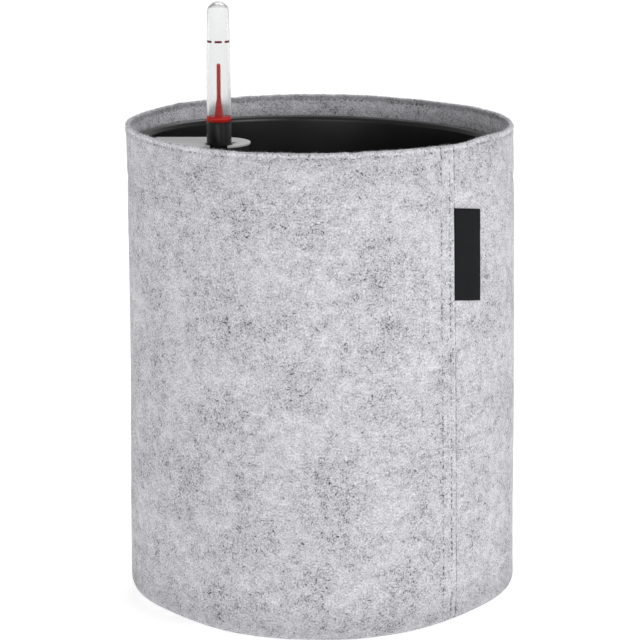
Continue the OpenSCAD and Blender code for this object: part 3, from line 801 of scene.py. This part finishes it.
# Indicator stem and float cage
# A black moulded tube that carries the clear tube on its collar. At its foot a slotted cage for the float,
# closed by a plug, stands on the liner's floor inside the shaft.
stem_black = moulded("stem_black", (0.003, 0.003, 0.0035), 0.20, gloss=0.40)
stem_low, stem_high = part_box("indicator_stem")
axis = ((stem_low.x + stem_high.x) / 2.0, (stem_low.y + stem_high.y) / 2.0)
stem_top = stem_high.z / MM
stem_foot = 62.2
stem_r = 5.7
stem_bore = 4.2
cap_r = 5.95
cap_t = 3.0
guide_r = 1.5
collar_r = 7.3
collar_low, collar_top = 246.0, 250.0
stem_corners = [(stem_bore, stem_foot, 0), (stem_r, stem_foot, 0.3), (stem_r, collar_low, 0),
                (collar_r, collar_low, 0.4), (collar_r, collar_top, 0.3), (cap_r, collar_top, 0),
                (cap_r, stem_top, 0.4), (guide_r, stem_top, 0.2), (guide_r, stem_top - cap_t, 0),
                (stem_bore, stem_top - cap_t, 0)]
stem = lathe("stem", rounded(stem_corners, steps=3, closed=True), 64, stem_black, axis, ring=True)
stem.data.set_sharp_from_angle(angle=math.radians(50.0))
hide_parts("indicator_stem")
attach(stem, "indicator")
for name, node in (("cage", "float_cage"), ("plug", "cage_plug")):
    from_cad(name, node, stem_black, "indicator")


# Clear tube
# A tapered cap of clear polished plastic, moulded with a domed end and pushed over the stem. Three red dashes
# are printed round its front at the full mark, and a red ring at the low mark.
clear, start = new_material("clear", {"Base Color": (0.87, 0.875, 0.875, 1), "IOR": 1.24,
                                      "Transmission Weight": 1.0})
haze = start.node("ShaderNodeTexCoord", out="Object").noise(6.0 * MM, detail=2.0)
feed(clear, {"Roughness": 0.16 + 0.10 * haze})
tube_bore = 5.9
tube_foot_r = 7.35
tube_neck_r = 6.65
tube_neck = 323.4
dome_r = 6.336
dome_z = 339.164
hollow_z = 337.964
hollow_foot = stem_top + 17.4
tube_corners = [(tube_bore, collar_top, 0), (tube_foot_r, collar_top, 0.2), (tube_neck_r, tube_neck, 0)]
tube_corners += [(r, z, 0) for r, z in arc(0.0, dome_z, dome_r, 18.75, 90.0, 10)]
tube_corners += [(r, z, 0) for r, z in arc(0.0, hollow_z, dome_r, 90.0, 40.8, 8)]
tube_corners += [(tube_bore, hollow_foot, 0)]
tube = lathe("tube", rounded(tube_corners, steps=3, closed=True), 96, clear, axis, ring=True)
tube.data.set_sharp_from_angle(angle=math.radians(24.0))
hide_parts("indicator_tube")
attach(tube, "indicator")

mark_red, start = new_material("mark_red", {"Roughness": 0.45})
ink = start.node("ShaderNodeTexCoord", out="Object").noise(0.4 * MM, detail=1.0)
feed(mark_red, {"Base Color": ink.rise(0.3, 0.7).tint((0.22, 0.012, 0.02, 1), (0.15, 0.008, 0.015, 1))})
mark_z = 323.0 * MM
dash_h = 1.25 * MM
dash_r = 6.655 * MM
dash_t = 0.05 * MM
dash_first = -140.5
dash_half = 18.0
dash_step = math.radians(52.0)
dash_tree, given = node_tree("dashes", {"Count": "NodeSocketInt", "Ink": "NodeSocketMaterial"})
dash, count, ink = given
spots = dash.node("GeometryNodePoints", None, {"Count": count})
number = dash.node("GeometryNodeInputIndex")
turn = dash.node("ShaderNodeCombineXYZ", None, {2: number * dash_step})
ring = dash.node("GeometryNodeInstanceOnPoints", None, {"Points": spots, "Instance": dash, "Rotation": turn})
close_tree(ring, ink)

dash_turns = [math.radians(dash_first + t) for t in spaced(-dash_half, dash_half, 4.0) + [dash_half]]
dash_low, dash_high = mark_z - dash_h / 2.0, mark_z + dash_h / 2.0
dash_points = []
for r, z in ((dash_r, dash_low), (dash_r + dash_t, dash_low),
             (dash_r + dash_t, dash_high), (dash_r, dash_high)):
    dash_points += [(r * math.cos(t), r * math.sin(t), z) for t in dash_turns]
many = len(dash_turns)
dash_faces = [(s * many + k, s * many + k + 1, (s + 1) % 4 * many + k + 1, (s + 1) % 4 * many + k)
              for s in range(4) for k in range(many - 1)]
dash_faces += [tuple(s * many for s in range(4)), tuple(s * many + many - 1 for s in range(4))]
full_mark = mesh_piece("full_mark", dash_points, dash_faces, mark_red)
baked(full_mark, dash_tree, {"Count": 3, "Ink": mark_red})
full_mark.data.transform(Matrix.Translation((axis[0], axis[1], 0.0)))
needle_red, start = new_material("needle_red", {"Roughness": 0.35, "Specular IOR Level": 0.4})
shade = start.node("ShaderNodeTexCoord", out="Object").noise(2.0 * MM, detail=1.0)
feed(needle_red, {"Base Color": shade.rise(0.3, 0.7).tint((0.78, 0.024, 0.020, 1), (0.70, 0.018, 0.016, 1))})
low_ring = [(r * MM, (stem_top + z) * MM) for r, z in ((7.05, 0.0), (7.15, 0.0), (7.12, 3.1), (7.02, 3.1))]
low_mark = lathe("low_mark", low_ring, 64, needle_red, axis, ring=True)
for piece in (full_mark, low_mark):
    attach(piece, "indicator")


# Float, rod and needle
# A float of white plastic in the cage lifts a thin rod, which stands in its top. The rod carries a moulded
# red needle with a disc at its foot up the clear tube.
needle_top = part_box("level_needle")[1].z / MM
disc_r = 5.5
disc_top = stem_top + 3.0
needle_corners = [(0, stem_top, 0), (disc_r, stem_top, 0.3), (disc_r, disc_top, 0.4), (2.7, disc_top, 0.4),
                  (1.2, disc_top + 10.0, 9.0), (1.1, needle_top - 0.4, 0), (0.7, needle_top, 0),
                  (0, needle_top, 0)]
needle = lathe("needle", rounded(needle_corners), 48, needle_red, axis)
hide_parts("level_needle")
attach(needle, "float")
float_white = moulded("float_white", (0.80, 0.80, 0.77), 0.5, mottle=0.03)
float_low, float_top = 12.4, 42.4
float_r = 5.9
float_cut = 1.5
rod_r = 1.1
float_corners = [(0, float_low, 0), (float_r - float_cut, float_low, 0.5),
                 (float_r, float_low + float_cut, 0.8), (float_r, float_top - float_cut, 0.8),
                 (float_r - float_cut, float_top, 0.5), (0, float_top, 0)]
float_piece = lathe("float_piece", rounded(float_corners), 48, float_white, axis)
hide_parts("float_body")
rod_corners = [(0, float_top, 0), (rod_r, float_top, 0), (rod_r, stem_top, 0), (0, stem_top, 0)]
rod = lathe("rod", rounded(rod_corners), 24, float_white, axis)
rod.data.set_sharp_from_angle(angle=math.radians(50.0))
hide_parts("float_rod")
for piece in (float_piece, rod):
    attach(piece, "float")


# Studio
# A white floor that runs out of sight to a white horizon, with soft light from all round. The floor glows
# and so lights the pot from below; its glow is dimmer near the pot, a painted shadow round its foot. The
# strongest of three soft lamps stands at the upper right.
floor_half = 40.0
floor_white, start = new_material("floor_white", {"Roughness": 0.9, "Specular IOR Level": 0.0,
                                                  "Emission Strength": 0.78})
spot = start.node("ShaderNodeTexCoord", out="Object")
away = start.node("ShaderNodeVectorMath", {"operation": "LENGTH"}, {0: spot}, out="Value")
swept = spot.noise(0.4, detail=2.0)
# The floor's glow is dimmest within 0.4 m of the pot and full from 2.2 m out: a painted shadow round its
# foot.
feed(floor_white, {"Base Color": swept.tint((0.93, 0.93, 0.93, 1), (0.92, 0.92, 0.92, 1)),
                   "Emission Color": away.rise(0.4, 2.2).tint((0.74, 0.74, 0.74, 1), (1.0, 1.0, 1.0, 1))})
floor_corners = [(-floor_half, -floor_half, 0), (floor_half, -floor_half, 0), (floor_half, floor_half, 0),
                 (-floor_half, floor_half, 0)]
floor = mesh_piece("floor", floor_corners, [(0, 1, 2, 3)], floor_white)

world = bpy.data.worlds.new("studio")
world.use_nodes = True
background = world.node_tree.nodes["Background"]
background.inputs["Color"].default_value = (1.0, 1.0, 1.0, 1.0)
sky_up = Shade(world.node_tree).node("ShaderNodeTexCoord", out="Generated").part(2)
glow = 0.295 + 0.78 * sky_up.rise(0.27, 0.05)
world.node_tree.links.new(glow.socket, background.inputs["Strength"])
bpy.context.scene.world = world

for name, place, aim, width, power in (("key", (2.0, -1.5, 1.6), (0.0, 0.0, 0.12), 1.4, 17.8),
                                       ("fill", (-0.4, -2.4, 1.0), (0.0, 0.0, 0.15), 1.6, 6.4),
                                       ("back", (0.1, 1.1, 1.5), (0.0, 0.0, 0.26), 0.9, 7.0)):
    light = bpy.data.lights.new(name, "AREA")
    light.shape = "SQUARE"
    light.size = width
    light.energy = power
    lamp = bpy.data.objects.new(name, light)
    lamp.location = place
    lamp.rotation_euler = (Vector(aim) - Vector(place)).to_track_quat("-Z", "Y").to_euler()
    bpy.context.scene.collection.objects.link(lamp)

camera_data = bpy.data.cameras.new("camera")
camera_data.lens = 144.56
camera_data.sensor_width = 36.0
camera_data.clip_end = 50.0
camera = bpy.data.objects.new("camera", camera_data)
camera.location = (-0.00095, -1.467, 0.494)
camera.rotation_euler = (math.radians(77.12), 0.0, 0.0)
bpy.context.scene.collection.objects.link(camera)
bpy.context.scene.camera = camera
bpy.context.scene.view_settings.view_transform = "Standard"
